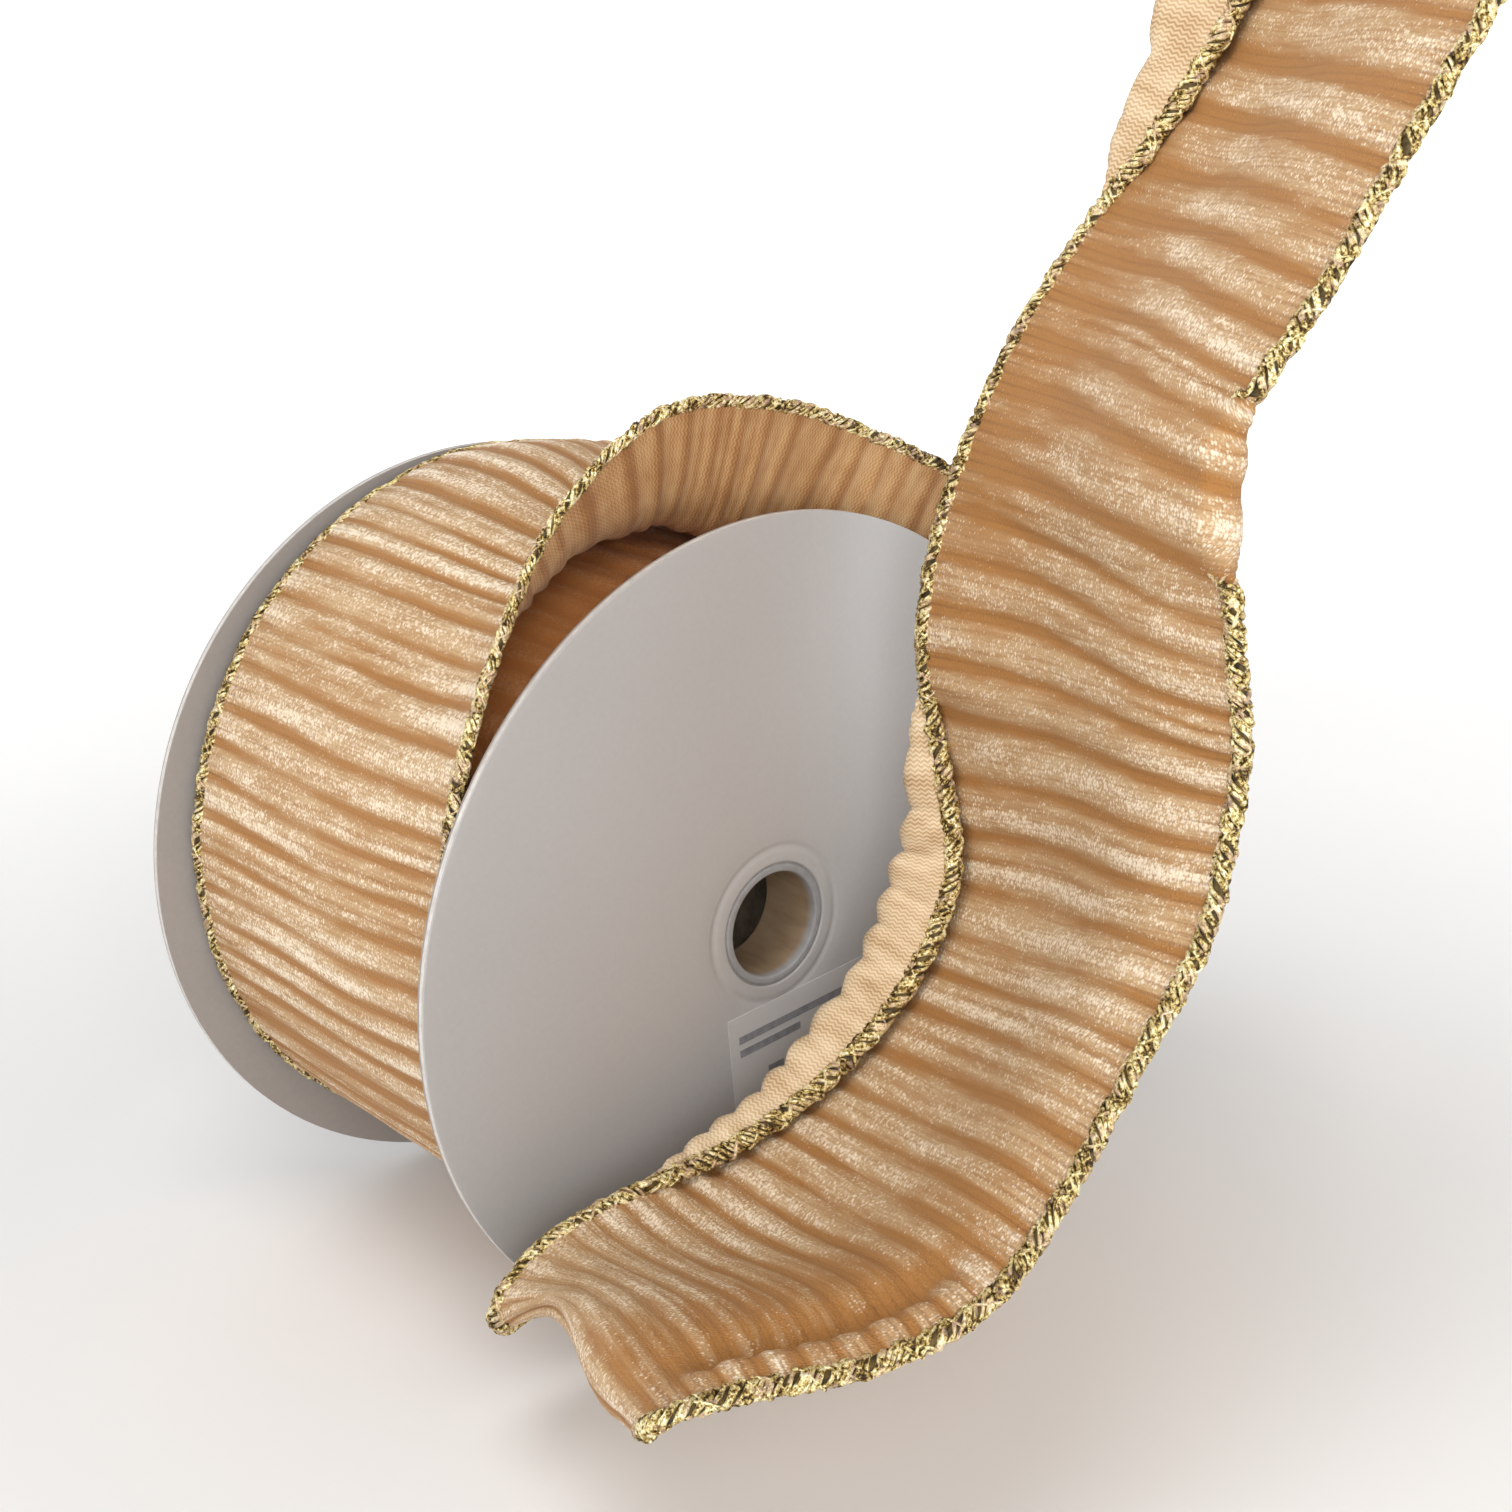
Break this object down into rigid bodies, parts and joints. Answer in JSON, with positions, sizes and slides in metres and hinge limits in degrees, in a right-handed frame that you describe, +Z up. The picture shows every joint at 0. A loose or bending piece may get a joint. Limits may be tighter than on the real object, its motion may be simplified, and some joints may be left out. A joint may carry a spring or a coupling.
{
  "type": "ribbon spool",
  "caption": "Cardboard spool of pleated velvet ribbon with wired gold edges, its outer turn loose and a free length looped in front.",
  "frame": {"origin": "centre of the spindle bore, halfway between the flanges' outer faces", "axes": "+Y along the spool's axis towards the rear flange, +Z up"},
  "size_m": [0.1588, 0.1529, 0.1864],
  "materials": {
    "board": "raw grey board",
    "facing_paper": "smooth white-grey paper",
    "hub_board": "raw grey-brown board",
    "glue": "dried glue",
    "tape": "paper tape",
    "label_paper": "satin label paper",
    "velvet": "pleated champagne velvet, cream knit back",
    "gold_edge": "wrapped metallic gold thread",
    "edge_wire": "bare wire"
  },
  "bodies": {
    "free_ribbon": {"loose_turn": "velvet", "front_loop": "velvet", "free_tail": "velvet", "free_trim_front": "gold_edge", "free_trim_rear": "gold_edge", "free_wire_front": "edge_wire", "free_wire_rear": "edge_wire"},
    "spool": {"front_flange_board": "board", "rear_flange_board": "board", "front_outer_facing": "facing_paper", "rear_outer_facing": "facing_paper", "front_inner_facing": "facing_paper", "rear_inner_facing": "facing_paper", "front_hub_bush": "hub_board", "rear_hub_bush": "hub_board", "core_drum": "hub_board", "front_glue_ring": "glue", "rear_glue_ring": "glue", "start_tape": "tape", "label": "label_paper", "ribbon_roll": "velvet", "roll_trim_front": "gold_edge", "roll_trim_rear": "gold_edge", "roll_wire_front": "edge_wire", "roll_wire_rear": "edge_wire"}
  },
  "joints": [
    {"name": "spool_turn", "type": "hinge", "parent": "free_ribbon", "child": "spool", "pos_m": [0, 0, 0], "axis": [0, 1, 0], "range_deg": [-15, 15]}
  ]
}
